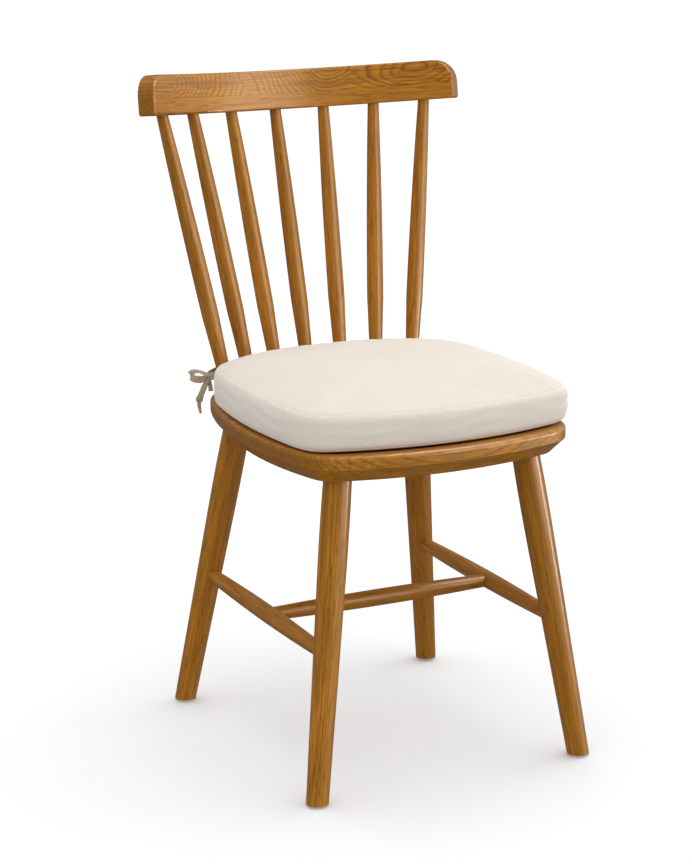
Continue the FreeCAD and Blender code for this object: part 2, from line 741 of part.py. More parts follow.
def cushion_corner(side, point):
    """The nearest point of the cushion's fullest outline to a point beside it, less the tie's gap."""
    outline = cushion_outline.wire(height=point.z)
    on_outline = outline.distToShape(Part.Vertex(point))[1][0][0]
    return on_outline + (point - on_outline).normalize() * size("tie_cover_gap")


def tie(side):
    """A loop round the outer spindle with a knot beside it, a bow of two loops and two hanging tails."""
    step = SIDES[side] * (spindle_count - 1) / 2
    foot, head = spindle_foot(step), spindle_head(step)
    centre = foot + (head - foot) * (size("tie_height_above_seat") / (head.z - foot.z))
    up = (head - foot).normalize()
    frame = Placement(centre, Rotation(Vector(SIDES[side], 0, 0), Vector(), up, "ZXY"))
    local = frame.inverse()
    hang = local.Rotation.multVec(Vector(0, 0, -1))
    ahead = local.Rotation.multVec(Vector(0, -1, 0))
    ahead = Vector(ahead.x, ahead.y, 0).normalize()
    corner = local.multVec(cushion_corner(side, centre))
    corner = Vector(corner.x, corner.y, 0)

    swelling = size("spindle_swell_diameter") - size("spindle_foot_diameter")
    swelling *= size("tie_height_above_seat") / size("spindle_swell_height")
    hold = (size("spindle_foot_diameter") + swelling) / 2 + size("tie_spindle_gap")
    knot = Vector(size("tie_knot_distance"), 0, 0)
    pinch = size("tie_thickness")
    opening = size("tie_loop_opening") / 2
    reach = size("tie_loop_length") - opening
    turn = math.radians(SECOND_LOOP_TURN)
    second = Vector(1, 0, 0) * math.cos(turn) - ahead * math.sin(turn)

    pieces = [tape_loop(Vector(), hold, knot, pinch),
              tape_loop(knot, pinch, knot + Vector(reach, 0, 0), opening),
              tape_loop(knot, pinch, knot + second * reach, opening),
              tail(knot, LONG_TAIL_DRIFT, hang, size("tie_long_tail"), ahead),
              tail(knot, SHORT_TAIL_DRIFT, hang, size("tie_short_tail"), ahead),
              tape_run([corner * ((hold + pinch / 2) / corner.Length), corner], Vector(0, 0, 1))]
    tape = document.addObject("Part::Feature", f"{side}_tie_tape")
    tape.Shape = Part.makeSphere(size("tie_knot_size") / 2, knot).multiFuse(pieces)
    tape.Placement = frame
    keep(f"{side}_tie", tape)


for side in SIDES:
    tie(side)


# The origin is the middle of the whole chair's box, on the floor

document.recompute()
whole_box = Part.makeCompound([thing.Shape for thing in nodes.values()]).optimalBoundingBox()
to_middle = Placement(Vector(-whole_box.Center.x, -whole_box.Center.y, 0), Rotation())
for thing in nodes.values():
    thing.Placement = to_middle.multiply(thing.Placement)
document.recompute()

broken = [thing.Label for thing in document.Objects if {"Invalid", "Error"} & set(thing.State)]
broken += [label for label, thing in nodes.items() if thing.Shape.isNull() or not thing.Shape.isValid()]
if broken:
    raise RuntimeError("these did not come out whole: " + ", ".join(broken))

os.makedirs("parts", exist_ok=True)
for label, thing in nodes.items():
    thing.Shape.exportStep(os.path.join("parts", label + ".step"))
box = Part.makeCompound([thing.Shape for thing in nodes.values()]).optimalBoundingBox()
print(f"{len(nodes)} nodes, {box.XLength:.1f} x {box.YLength:.1f} x {box.ZLength:.1f} mm")
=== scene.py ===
import math

import bpy
import numpy as np
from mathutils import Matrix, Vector
from mathutils.bvhtree import BVHTree


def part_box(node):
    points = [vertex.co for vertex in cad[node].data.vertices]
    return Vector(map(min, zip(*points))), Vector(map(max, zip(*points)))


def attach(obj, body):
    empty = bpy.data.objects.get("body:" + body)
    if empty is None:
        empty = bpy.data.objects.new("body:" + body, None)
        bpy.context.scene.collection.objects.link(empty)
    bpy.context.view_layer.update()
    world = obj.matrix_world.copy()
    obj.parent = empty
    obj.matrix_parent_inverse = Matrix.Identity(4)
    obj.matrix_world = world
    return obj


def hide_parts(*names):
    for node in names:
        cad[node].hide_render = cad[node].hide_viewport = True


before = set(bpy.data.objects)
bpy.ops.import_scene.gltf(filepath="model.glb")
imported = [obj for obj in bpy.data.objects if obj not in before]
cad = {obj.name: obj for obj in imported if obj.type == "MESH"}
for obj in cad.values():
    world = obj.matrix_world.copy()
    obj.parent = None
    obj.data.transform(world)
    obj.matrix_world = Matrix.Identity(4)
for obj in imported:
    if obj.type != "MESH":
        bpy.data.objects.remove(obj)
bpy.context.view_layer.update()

MM = 0.001


# Small tools

def linear(code, alpha=1.0):
    """An sRGB hex colour as the linear colour a shader takes."""
    channels = [int(code[at:at + 2], 16) / 255 for at in (0, 2, 4)]
    channels = [c / 12.92 if c <= 0.04045 else ((c + 0.055) / 1.055) ** 2.4 for c in channels]
    return (*channels, alpha)


def add(tree, kind, inputs=None, stops=None, **properties):
    """Adds one node. Inputs are values or sockets, and stops are a colour ramp's places and colours."""
    made = tree.nodes.new("ShaderNode" + kind)
    for name, value in properties.items():
        setattr(made, name, value)
    for name, value in (inputs or {}).items():
        if isinstance(value, bpy.types.NodeSocket):
            tree.links.new(value, made.inputs[name])
        else:
            made.inputs[name].default_value = value
    for index, (place, colour) in enumerate(stops or ()):
        elements = made.color_ramp.elements
        stop = elements[index] if index < 2 else elements.new(place)
        stop.position = place
        stop.color = colour
    return made


def new_material(name):
    """A material with a shader and nothing else, its node tree and the shader."""
    material = bpy.data.materials.new(name)
    material.use_nodes = True
    tree = material.node_tree
    return material, tree, tree.nodes["Principled BSDF"]


def dress(node, material):
    """Gives a CAD node its finish."""
    mesh = cad[node].data
    mesh.materials.clear()
    mesh.materials.append(material)
    return material


def unit(vectors):
    return vectors / np.linalg.norm(vectors, axis=-1, keepdims=True)


def vertices_of(mesh):
    points = np.empty(len(mesh.vertices) * 3, np.float32)
    mesh.vertices.foreach_get("co", points)
    return points.reshape(-1, 3).astype(float)


def axis_of(node):
    """A turned piece's centroid and the direction of its length, from the spread of its vertices. The
    largest part of the direction is positive, so legs and spindles point upwards."""
    points = vertices_of(cad[node].data)
    centroid = points.mean(0)
    along = np.linalg.eigh(np.cov((points - centroid).T))[1][:, -1]
    return centroid, along * np.sign(along[np.argmax(np.abs(along))])


def quads(grid):
    """The four corners of every cell of a grid of numbers or points, in order round the cell."""
    corners = [grid[:-1, :-1], grid[1:, :-1], grid[1:, 1:], grid[:-1, 1:]]
    return np.stack(corners, 2).reshape(-1, 4, *grid.shape[2:])


def surface_piece(name, points, faces, places, material):
    """A smooth mesh from points, four-cornered faces and the places of their corners on the cloth, in
    metres. A closed piece whose signed volume is below zero has its faces turned to point outwards."""
    corner = points[faces]
    across = np.cross(corner[:, 1], corner[:, 2]) + np.cross(corner[:, 2], corner[:, 3])
    volume = (corner[:, 0] * across).sum()
    if volume < 0:
        faces, places = faces[:, ::-1], places[:, ::-1]
    mesh = bpy.data.meshes.new(name)
    mesh.from_pydata(points.tolist(), [], faces.tolist())
    layer = mesh.uv_layers.new(name="cloth")
    layer.data.foreach_set("uv", places.astype(np.float32).ravel())
    mesh.polygons.foreach_set("use_smooth", np.ones(len(faces), bool))
    mesh.materials.append(material)
    mesh.update()
    made = bpy.data.objects.new(name, mesh)
    bpy.context.scene.collection.objects.link(made)
    return made


def grid_piece(name, grid, places, material, close_u=False, close_v=False):
    """A piece from one grid of points. Close_u joins its last row to the first, and close_v its last column
    to the first. The grid of places is a row or a column longer there, so that the pattern runs on."""
    numbers = np.arange(grid.shape[0] * grid.shape[1]).reshape(grid.shape[:2])
    if close_u:
        numbers = np.concatenate([numbers, numbers[:1]])
    if close_v:
        numbers = np.concatenate([numbers, numbers[:, :1]], 1)
    return surface_piece(name, grid.reshape(-1, 3), quads(numbers), quads(places), material)


def join_pieces(name, pieces):
    """One mesh out of several, which are removed."""
    with bpy.context.temp_override(active_object=pieces[0], selected_editable_objects=pieces):
        bpy.ops.object.join()
    pieces[0].name = name
    pieces[0].data.name = name
    return pieces[0]


# Oak, stained and lacquered. Fineness and stretch are the fibres' noise per metre, across and along

HONEY = "DA9322"
AMBER = "C47F16"
MID_RING = "C9851C"
CALM_WOOD = "C5811C"
LATE_WOOD = "8A510B"
FIBRE_BROWN = "8C540B"
STAIN_BROWN = "8F580D"
END_GRAIN = "70440A"
PORE_BROWN = "553107"
LACQUER = {"IOR": 1.5, "Specular IOR Level": 0.5, "Specular Tint": linear("FFD29A"), "Coat Weight": 0.45,
           "Coat Roughness": 0.22, "Coat IOR": 1.45}
TURNED_RING = 2.4 * MM
SEAT_RING = 4.2 * MM
CREST_RING = 5.2 * MM
TURNED_STRAY = 2.0 * MM
FIBRE_FINENESS = 520.0
FIBRE_STRETCH = 11.0
PORE_LENGTH = 16 * MM
PORE_WIDTH = 1.1 * MM
PORE_DEPTH = 0.15 * MM
STAIN_STREAK = 6 * MM


def ring_depth(tree, place, pith, stray):
    """How deep a point lies in the log: its distance from a pith that runs along the grain, and a slow
    stray that draws arches on a flat-sawn face."""
    stretched = add(tree, "Mapping", {"Vector": place, "Scale": (1.0, 1.0, 0.2)})
    wander = add(tree, "TexNoise", {"Vector": stretched.outputs[0], "Scale": 16.0, "Detail": 1.5})
    strayed = add(tree, "MapRange", {"Value": wander.outputs["Fac"], "To Min": -stray, "To Max": stray})
    spread = add(tree, "VectorMath", {0: place, 1: (pith[0], pith[1], 0.0)}, operation="SUBTRACT")
    flat = add(tree, "VectorMath", {0: spread.outputs[0], 1: (1.0, 1.0, 0.0)}, operation="MULTIPLY")
    reach = add(tree, "VectorMath", {0: flat.outputs[0]}, operation="LENGTH")
    return add(tree, "Math", {0: reach.outputs["Value"], 1: strayed.outputs[0]}, operation="ADD").outputs[0]


def oak(tree, shader, place, depth, ring_width, calm, end_grain=None, stain=0.0):
    """Oak under a brown stain and a thin satin lacquer. Growth rings follow depth: pale early wood that
    darkens to a thin line of late wood, and chance leaves some of them faint. Pores are short dark dashes
    along the grain, fine fibres and broad streaks of stain lie between them, and end grain drinks more
    stain. Calm, from 0 to 1, hides the rings, and stain darkens the whole piece.
    The lacquer gives soft streaks of light, and dips a little into the pores."""
    rings = add(tree, "Math", {0: depth, 1: ring_width}, operation="DIVIDE")
    ring = add(tree, "Math", {0: rings.outputs[0]}, operation="FRACT")
    ring_tone = add(tree, "ValToRGB", {"Fac": ring.outputs[0]},
                    stops=[(0.0, linear(AMBER)), (0.2, linear(HONEY)), (0.6, linear(MID_RING)),
                           (0.88, linear(LATE_WOOD)), (1.0, linear(AMBER))])
    which = add(tree, "Math", {0: rings.outputs[0]}, operation="FLOOR")
    chance = add(tree, "TexWhiteNoise", {"W": which.outputs[0]}, noise_dimensions="1D")
    faint = add(tree, "Math", {0: chance.outputs["Value"], 1: 0.45}, operation="MULTIPLY")
    hidden = add(tree, "Math", {0: faint.outputs[0], 1: calm}, operation="MAXIMUM")
    calmed = add(tree, "Mix", {"Factor": hidden.outputs[0], "A": ring_tone.outputs["Color"],
                               "B": linear(CALM_WOOD)}, data_type="RGBA").outputs["Result"]

    threads = add(tree, "Mapping", {"Vector": place,
                                    "Scale": (FIBRE_FINENESS, FIBRE_FINENESS, FIBRE_STRETCH)})
    fibre = add(tree, "TexNoise", {"Vector": threads.outputs[0], "Scale": 1.0, "Detail": 3.0,
                                   "Roughness": 0.7})
    fibrous = add(tree, "MapRange", {"Value": fibre.outputs["Fac"], "From Min": 0.4, "From Max": 0.68,
                                     "To Max": 0.72})
    combed = add(tree, "Mix", {"Factor": fibrous.outputs[0], "A": calmed, "B": linear(FIBRE_BROWN)},
                 data_type="RGBA")
    streak = 1 / STAIN_STREAK
    broad = add(tree, "Mapping", {"Vector": place, "Scale": (streak, streak, streak / 16)})
    drift = add(tree, "TexNoise", {"Vector": broad.outputs[0], "Scale": 0.8, "Detail": 2.0})
    stained = add(tree, "MapRange", {"Value": drift.outputs["Fac"], "From Min": 0.42, "From Max": 0.7,
                                     "To Min": stain, "To Max": stain + 0.45})
    streaked = add(tree, "Mix", {"Factor": stained.outputs[0], "A": combed.outputs["Result"],
                                 "B": linear(STAIN_BROWN)}, data_type="RGBA")
    dashes = add(tree, "Mapping", {"Vector": place,
                                   "Scale": (1 / PORE_WIDTH, 1 / PORE_WIDTH, 1 / PORE_LENGTH)})
    pores = add(tree, "TexNoise", {"Vector": dashes.outputs[0], "Scale": 0.6, "Detail": 2.0,
                                   "Roughness": 0.6})
    pore = add(tree, "MapRange", {"Value": pores.outputs["Fac"], "From Min": 0.55, "From Max": 0.7,
                                  "To Max": 0.6})
    pored = add(tree, "Mix", {"Factor": pore.outputs[0], "A": streaked.outputs["Result"],
                              "B": linear(PORE_BROWN)}, data_type="RGBA")
    colour = pored.outputs["Result"]
    if end_grain is not None:
        drunk = add(tree, "MapRange", {"Value": end_grain, "From Min": 0.5, "From Max": 0.95, "To Max": 0.45})
        colour = add(tree, "Mix", {"Factor": drunk.outputs[0], "A": colour, "B": linear(END_GRAIN)},
                     data_type="RGBA").outputs["Result"]
    tree.links.new(colour, shader.inputs["Base Color"])

    uneven = add(tree, "MapRange", {"Value": fibre.outputs["Fac"], "To Min": 0.38, "To Max": 0.56})
    tree.links.new(uneven.outputs[0], shader.inputs["Roughness"])
    sunk = add(tree, "Math", {0: pore.outputs[0], 1: -1.0}, operation="MULTIPLY")
    relief = add(tree, "Bump", {"Height": sunk.outputs[0], "Strength": 0.4, "Distance": PORE_DEPTH})
    tree.links.new(relief.outputs[0], shader.inputs["Normal"])
    for socket, value in LACQUER.items():
        shader.inputs[socket].default_value = value


def turned_oak(node, seed):
    """Oak turned from a straight-grained billet. The grain runs along the piece, the pith lies outside it,
    and each piece is cut from another place in the log."""
    middle, along = axis_of(node)
    turn = Vector(along).to_track_quat("Z", "Y").to_euler()
    material, tree, shader = new_material(f"turned_oak_{node}")
    object_place = add(tree, "TexCoord").outputs["Object"]
    place = add(tree, "Mapping", {"Vector": object_place, "Location": tuple(middle), "Rotation": turn},
                vector_type="TEXTURE")
    cut = add(tree, "VectorMath", {0: place.outputs[0], 1: (0.3 * seed, 0.2 * seed, 0.7 * seed)},
              operation="ADD")
    angle = seed * 2.1
    pith = (0.3 * seed + 0.05 * math.cos(angle), 0.2 * seed + 0.05 * math.sin(angle))
    depth = ring_depth(tree, cut.outputs[0], pith, TURNED_STRAY)
    oak(tree, shader, cut.outputs[0], depth, TURNED_RING, 0.45, stain=0.26 + 0.16 * math.sin(2.4 * seed))
    return dress(node, material)


turned_pieces = sorted(name for name in cad
                       if name.startswith("spindle") or name.endswith(("_leg", "stretcher")))
for seed, node in enumerate(turned_pieces, start=1):
    turned_oak(node, seed)

SEAT_BOARD = 98 * MM
SEAT_PITH = (0.12, 0.03)
BOARD_STEP = 0.83


def seat_oak():
    """Flat-sawn oak boards glued edge to edge, the grain from side to side. The pith lies below, so the
    rings show as near level lines round the edge. Each board starts at another place in its log."""
    low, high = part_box("seat")
    material, tree, shader = new_material("flat_sawn_oak_seat")
    coordinates = add(tree, "TexCoord")
    turned = add(tree, "Mapping", {"Vector": coordinates.outputs["Object"],
                                   "Location": tuple((low + high) / 2),
                                   "Rotation": (0.0, math.pi / 2, 0.0)}, vector_type="TEXTURE")
    parts = add(tree, "SeparateXYZ", {0: turned.outputs[0]})
    boards = add(tree, "Math", {0: parts.outputs["Y"], 1: SEAT_BOARD}, operation="DIVIDE")
    board = add(tree, "Math", {0: boards.outputs[0]}, operation="FLOOR")
    start = add(tree, "CombineXYZ", {"Z": board.outputs[0]})
    step = add(tree, "VectorMath", {0: start.outputs[0], 1: (0.0, 0.0, BOARD_STEP)}, operation="MULTIPLY")
    place = add(tree, "VectorMath", {0: turned.outputs[0], 1: step.outputs[0]}, operation="ADD").outputs[0]
    facing = add(tree, "SeparateXYZ", {0: coordinates.outputs["Normal"]})
    ends = add(tree, "Math", {0: facing.outputs["X"]}, operation="ABSOLUTE")
    depth = ring_depth(tree, place, SEAT_PITH, 3 * MM)
    oak(tree, shader, place, depth, SEAT_RING, 0.35, ends.outputs[0], stain=0.12)
    return dress("seat", material)


CREST_RADIUS = 317.5 * MM
CREST_APEX = (0.0, 0.3115 - 0.05240065, 0.8055)
CREST_LEAN = math.radians(8.5)
STAVE_JOINT = 21 * MM
BLOCK_JOINT = -197 * MM
CREST_STRAY = 7 * MM
ARCHES_MEET = 14 * MM
CREST_FIGURE = [(-216, 42, 1.8), (80, 62, 1.3), (205, 46, 2.8)]


def crest_oak():
    """A bent board of two staves with a block let in at its left end. Its grain runs along the arc: place
    along it is angle times radius. The upper stave is flat-sawn, and its arches and ovals are drawn round a
    few centres, each with its place along, its height and how long its ovals are. The lower stave is calm."""
    material, tree, shader = new_material("bent_oak_crest")
    coordinates = add(tree, "TexCoord")
    local = add(tree, "Mapping", {"Vector": coordinates.outputs["Object"],
                                  "Location": CREST_APEX,
                                  "Rotation": (-CREST_LEAN, 0.0, 0.0)}, vector_type="TEXTURE")
    centred = add(tree, "VectorMath", {0: local.outputs[0], 1: (0.0, CREST_RADIUS, 0.0)}, operation="ADD")
    parts = add(tree, "SeparateXYZ", {0: centred.outputs[0]})
    angle = add(tree, "Math", {0: parts.outputs["X"], 1: parts.outputs["Y"]}, operation="ARCTAN2")
    along = add(tree, "Math", {0: angle.outputs[0], 1: CREST_RADIUS}, operation="MULTIPLY").outputs[0]
    height = parts.outputs["Z"]
    plan = add(tree, "CombineXYZ", {"X": parts.outputs["X"], "Y": parts.outputs["Y"]})
    radius = add(tree, "VectorMath", {0: plan.outputs[0]}, operation="LENGTH").outputs["Value"]
    place = add(tree, "CombineXYZ", {"X": radius, "Y": height, "Z": along}).outputs[0]

    lower = add(tree, "Math", {0: height, 1: STAVE_JOINT}, operation="LESS_THAN").outputs[0]
    block = add(tree, "Math", {0: along, 1: BLOCK_JOINT}, operation="LESS_THAN").outputs[0]
    plain = add(tree, "Math", {0: lower, 1: block}, operation="MAXIMUM").outputs[0]
    shift = add(tree, "CombineXYZ", {"X": lower, "Y": block, "Z": plain})
    piece = add(tree, "VectorMath", {0: place, 1: shift.outputs[0]}, operation="ADD").outputs[0]

    wander = add(tree, "Mapping", {"Vector": piece, "Scale": (30.0, 38.0, 20.0)})
    waves = add(tree, "TexNoise", {"Vector": wander.outputs[0], "Scale": 1.0, "Detail": 2.0})
    figure = None
    for reach_along, reach_up, long in CREST_FIGURE:
        apart = add(tree, "VectorMath", {0: place, 1: (CREST_RADIUS, reach_up * MM, reach_along * MM)},
                    operation="SUBTRACT")
        shaped = add(tree, "VectorMath", {0: apart.outputs[0], 1: (0.6, 1.0, 1 / long)},
                     operation="MULTIPLY")
        oval = add(tree, "VectorMath", {0: shaped.outputs[0]}, operation="LENGTH").outputs["Value"]
        figure = oval if figure is None else add(
            tree, "Math", {0: figure, 1: oval, 2: ARCHES_MEET}, operation="SMOOTH_MIN").outputs[0]
    straying = add(tree, "MapRange", {"Value": waves.outputs["Fac"], "To Min": -CREST_STRAY,
                                      "To Max": CREST_STRAY})
    arches = add(tree, "Math", {0: figure, 1: straying.outputs[0]}, operation="ADD").outputs[0]
    straight = ring_depth(tree, piece, (CREST_RADIUS + 0.06, 0.0), 4 * MM)
    depth = add(tree, "Mix", {"Factor": plain, "A": arches, "B": straight}).outputs["Result"]

    tangent = add(tree, "CombineXYZ", {"X": parts.outputs["Y"], "Y": parts.outputs["X"]})
    forward = add(tree, "VectorMath", {0: tangent.outputs[0], 1: (1.0, -1.0, 0.0)}, operation="MULTIPLY")
    unit_forward = add(tree, "VectorMath", {0: forward.outputs[0]}, operation="NORMALIZE")
    facing = add(tree, "VectorMath", {0: coordinates.outputs["Normal"], 1: unit_forward.outputs[0]},
                 operation="DOT_PRODUCT").outputs["Value"]
    ends = add(tree, "Math", {0: facing}, operation="ABSOLUTE").outputs[0]
    calm = add(tree, "Math", {0: plain, 1: 0.55}, operation="MULTIPLY").outputs[0]
    oak(tree, shader, piece, depth, CREST_RING, calm, ends)
    return dress("crest_rail", material)


seat_oak()
crest_oak()


# Glides of white nylon with steel nails

def moulded_nylon():
    """Moulded nylon: off-white, dull, with scuffs that roughen its underside."""
    material, tree, shader = new_material("moulded_nylon_glide")
    place = add(tree, "TexCoord").outputs["Object"]
    scuffs = add(tree, "TexNoise", {"Vector": place, "Scale": 420.0, "Detail": 4.0})
    tone = add(tree, "ValToRGB", {"Fac": scuffs.outputs["Fac"]},
               stops=[(0.3, linear("D9D4C8")), (0.7, linear("EEEBE3"))])
    tree.links.new(tone.outputs["Color"], shader.inputs["Base Color"])
    rough = add(tree, "MapRange", {"Value": scuffs.outputs["Fac"], "To Min": 0.4, "To Max": 0.6})
    tree.links.new(rough.outputs[0], shader.inputs["Roughness"])
    return material


def drawn_steel():
    """Zinc-plated steel wire, dull from barrel plating."""
    material, tree, shader = new_material("plated_steel_nail")
    place = add(tree, "TexCoord").outputs["Object"]
    spangle = add(tree, "TexNoise", {"Vector": place, "Scale": 900.0, "Detail": 3.0})
    tone = add(tree, "ValToRGB", {"Fac": spangle.outputs["Fac"]},
               stops=[(0.3, linear("9A9C9E")), (0.7, linear("C6C8C9"))])
    tree.links.new(tone.outputs["Color"], shader.inputs["Base Color"])
    shader.inputs["Metallic"].default_value = 1.0
    rough = add(tree, "MapRange", {"Value": spangle.outputs["Fac"], "To Min": 0.28, "To Max": 0.45})
    tree.links.new(rough.outputs[0], shader.inputs["Roughness"])
    return material


nylon = moulded_nylon()
steel = drawn_steel()
for node in cad:
    if node.endswith("_glide"):
        dress(node, nylon)
    if node.endswith("_nail"):
        dress(node, steel)


# Cloth: a fine plain weave, drawn about twice as coarse as its real thread of 0.6 mm so that it shows

THREAD = 1.4 * MM
TAPE_THREAD = 1.2 * MM
THREAD_STRAY = 1.6 * MM
WEAVE_RELIEF = 0.4 * MM


def woven_cloth(name, light, dark, thread=THREAD):
    """Plain-woven cotton, off-white, matt, with a soft nap. Warp and weft are two wave patterns on the
    piece's own UV map, in metres. Slubs thicken some of the threads, and the weave wanders a little."""
    material, tree, shader = new_material(name)
    place = add(tree, "TexCoord").outputs["UV"]
    uneven = add(tree, "TexNoise", {"Vector": place, "Scale": 90.0, "Detail": 2.0})
    bent = add(tree, "VectorMath", {0: uneven.outputs["Color"], 1: (THREAD_STRAY, THREAD_STRAY, 0.0)},
               operation="MULTIPLY")
    wandering = add(tree, "VectorMath", {0: place, 1: bent.outputs[0]}, operation="ADD").outputs[0]
    warp, weft = [add(tree, "TexWave", {"Vector": wandering, "Scale": 2 * math.pi / thread / 20,
                                        "Distortion": 0.8}, bands_direction=direction).outputs["Fac"]
                  for direction in ("X", "Y")]
    woven = add(tree, "Math", {0: warp, 1: weft}, operation="MULTIPLY").outputs[0]
    slubs = []
    for stretch in ((760.0, 260.0, 1.0), (260.0, 760.0, 1.0)):
        run = add(tree, "Mapping", {"Vector": place, "Scale": stretch})
        slubs.append(add(tree, "TexNoise", {"Vector": run.outputs[0], "Scale": 1.0, "Detail": 3.0,
                                            "Roughness": 0.7}).outputs["Fac"])
    slub = add(tree, "Math", {0: slubs[0], 1: slubs[1]}, operation="MULTIPLY").outputs[0]
    raised = add(tree, "Math", {0: woven, 1: 0.35, 2: slub}, operation="MULTIPLY_ADD").outputs[0]
    shade = add(tree, "MapRange", {"Value": raised, "From Min": 0.16, "From Max": 0.5})
    soil = add(tree, "TexNoise", {"Vector": place, "Scale": 12.0, "Detail": 4.0})
    handled = add(tree, "MapRange", {"Value": soil.outputs["Fac"], "From Min": 0.4, "From Max": 0.75,
                                     "To Max": 0.35})
    cloth = add(tree, "Mix", {"Factor": shade.outputs[0], "A": linear(dark), "B": linear(light)},
                data_type="RGBA")
    worn = add(tree, "Mix", {"Factor": handled.outputs[0], "A": cloth.outputs["Result"], "B": linear(dark)},
               data_type="RGBA")
    tree.links.new(worn.outputs["Result"], shader.inputs["Base Color"])
    relief = add(tree, "Bump", {"Height": raised, "Strength": 0.6, "Distance": WEAVE_RELIEF})
    tree.links.new(relief.outputs[0], shader.inputs["Normal"])
    rough = add(tree, "MapRange", {"Value": slub, "To Min": 0.8, "To Max": 0.97})
    tree.links.new(rough.outputs[0], shader.inputs["Roughness"])
    shader.inputs["Sheen Weight"].default_value = 0.15
    shader.inputs["Sheen Roughness"].default_value = 0.6
    shader.inputs["Specular IOR Level"].default_value = 0.2
    return material


cover_cloth = woven_cloth("plain_woven_cotton_cover", "F3ECE2", "DDD1C2")
# The seam's cloth is paler than the cover's: a painted highlight along the seams, on the same cotton.
seam_cloth_painted_highlight = woven_cloth("folded_cotton_seam_painted_highlight", "FCF8F2", "F0E9DF")
tape_cloth = woven_cloth("folded_cotton_tape", "C6B59D", "8E7A5E", TAPE_THREAD)


# Cushion

COVER_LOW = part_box("cushion_cover")[0]
UNDER_RISE = 3 * MM
UNDER_TUCK = 4 * MM
SEAT_GAP = 0.3 * MM
BAND_HEIGHT = 44 * MM
LOWER_SEAM = COVER_LOW.z + UNDER_RISE
UPPER_SEAM = LOWER_SEAM + BAND_HEIGHT
BAND_SWELL = 5 * MM
CROWN = 20 * MM
CROWN_REACH = 190 * MM
PANEL_CELLS = 92
BAND_ROWS = 14
SMOOTHING_STEPS = 400
SIM_FRAMES = 20
SIM_CAP = 5 * MM
COTTON = {"quality": 5, "mass": 0.3, "tension_stiffness": 15, "compression_stiffness": 15,
          "shear_stiffness": 5, "bending_stiffness": 2.0, "use_pressure": True,
          "uniform_pressure_force": 4.0, "vertex_group_mass": "held"}


def spaced(path, count):
    """A path of points divided again into count points at equal distances."""
    far = np.concatenate([[0], np.cumsum(np.linalg.norm(np.diff(path, axis=0), axis=1))])
    even = np.linspace(0, far[-1], count)
    return np.stack([np.interp(even, far, path[:, axis]) for axis in range(path.shape[1])], -1)


def seam_outline():
    """The CAD cover's outline at its upper seam, anticlockwise from the rear. The vertices at that height
    are put in order of their bearing from the middle, and the outermost counts where several share one."""
    points = vertices_of(cad["cushion_cover"].data)
    ring = points[np.abs(points[:, 2] - UPPER_SEAM) < 0.05 * MM][:, :2]
    middle = (ring.min(0) + ring.max(0)) / 2
    bearing = np.arctan2(*(ring - middle).T[::-1])
    reach = np.linalg.norm(ring - middle, axis=1)
    order = np.lexsort((-reach, np.round(bearing, 3)))
    first = np.unique(np.round(bearing[order], 3), return_index=True)[1]
    bearing, reach = bearing[order][first], reach[order][first]
    outer = reach > 0.97 * np.interp(bearing, bearing, np.maximum(np.roll(reach, 1), np.roll(reach, -1)))
    even = np.linspace(-math.pi, math.pi, 2401)
    far = np.interp(even, bearing[outer], reach[outer], period=2 * math.pi)
    return spaced(middle + far[:, None] * np.stack([np.cos(even), np.sin(even)], -1), 2401)[:-1]


def panel_between(outline, count):
    """A grid over the inside of an outline. Its four sides run between the outline's corners, the inside
    starts as the sides blended across, and then each point moves to the mean of its neighbours."""
    corners = [int(np.argmax(outline @ np.array(way))) for way in ((-1, -1), (1, -1), (1, 1), (-1, 1))]
    turned = np.roll(outline, -corners[0], 0)
    stops = [(corner - corners[0]) % len(outline) for corner in corners] + [len(outline)]
    turned = np.vstack([turned, turned[:1]])
    front, right, rear, left = [spaced(turned[a:b + 1], count) for a, b in zip(stops, stops[1:])]
    rear, left = rear[::-1], left[::-1]
    share = np.linspace(0, 1, count)
    u, v = share[:, None, None], share[None, :, None]
    grid = ((1 - v) * front[:, None] + v * rear[:, None] + (1 - u) * left[None] + u * right[None]
            - (1 - u) * (1 - v) * front[0] - u * (1 - v) * front[-1]
            - (1 - u) * v * rear[0] - u * v * rear[-1])
    for _ in range(SMOOTHING_STEPS):
        grid[1:-1, 1:-1] = (grid[2:, 1:-1] + grid[:-2, 1:-1] + grid[1:-1, 2:] + grid[1:-1, :-2]) / 4
    return grid


def rim(grid):
    """The points round the border of a grid, anticlockwise from its first corner."""
    return np.concatenate([grid[:-1, 0], grid[-1, :-1], grid[:0:-1, -1], grid[0, :0:-1]])


def distance_to(path, points):
    """Each point's distance to the nearest point of a path, a hundred points of the path at a time."""
    nearest = np.full(points.shape[:-1], np.inf)
    for start in range(0, len(path), 100):
        gaps = points[..., None, :] - path[start:start + 100]
        nearest = np.minimum(nearest, np.linalg.norm(gaps, axis=-1).min(-1))
    return nearest


def fullness(plan, outline):
    """How much higher the stuffing holds the top and its seam: most at the rear left, as
    leftward ** 1.5 * (5 + 3 rearward) mm, and a little at the rear right, as 3 rightward ** 2 * rearward
    mm. Each share runs from 0 at the middle to 1 at the rim."""
    middle = (outline.min(0) + outline.max(0)) / 2
    share = (plan - middle) / (outline.max(0) - middle)
    leftward = np.clip(-share[..., 0], 0, 1) ** 1.5 * (5 + 3 * share[..., 1])
    rightward = 3 * np.clip(share[..., 0], 0, 1) ** 2 * np.clip(share[..., 1], 0, 1)
    return (leftward + rightward) * MM


